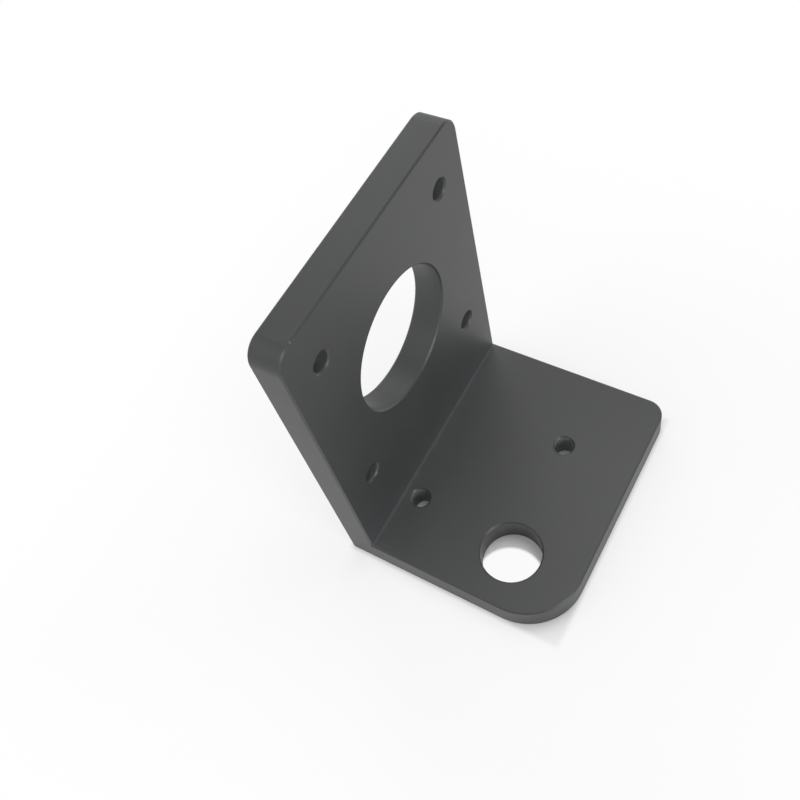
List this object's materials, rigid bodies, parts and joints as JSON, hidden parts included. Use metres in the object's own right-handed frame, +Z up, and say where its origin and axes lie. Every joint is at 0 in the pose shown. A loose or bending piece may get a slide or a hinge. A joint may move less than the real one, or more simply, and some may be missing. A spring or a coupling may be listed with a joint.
{
  "type": "motor mounting bracket",
  "caption": "Black anodised right-angle plate bracket for a small stepping motor, with a locating bore, a square of screw holes and a drilled base.",
  "frame": {"origin": "centre of the underside of the base, at the middle of the overall box", "axes": "+Z up along the upright, +X from the upright towards the free end of the base, +Y along the inside corner, away from the side with the large hole"},
  "size_m": [0.038, 0.044, 0.06],
  "materials": {
    "black_anodised": "machined aluminium with a satin black anodised coat, darker on the broad faces than on the cut edges, with two small bright nicks at one top corner"
  },
  "bodies": {
    "root": {"bracket": "black_anodised"}
  },
  "joints": []
}
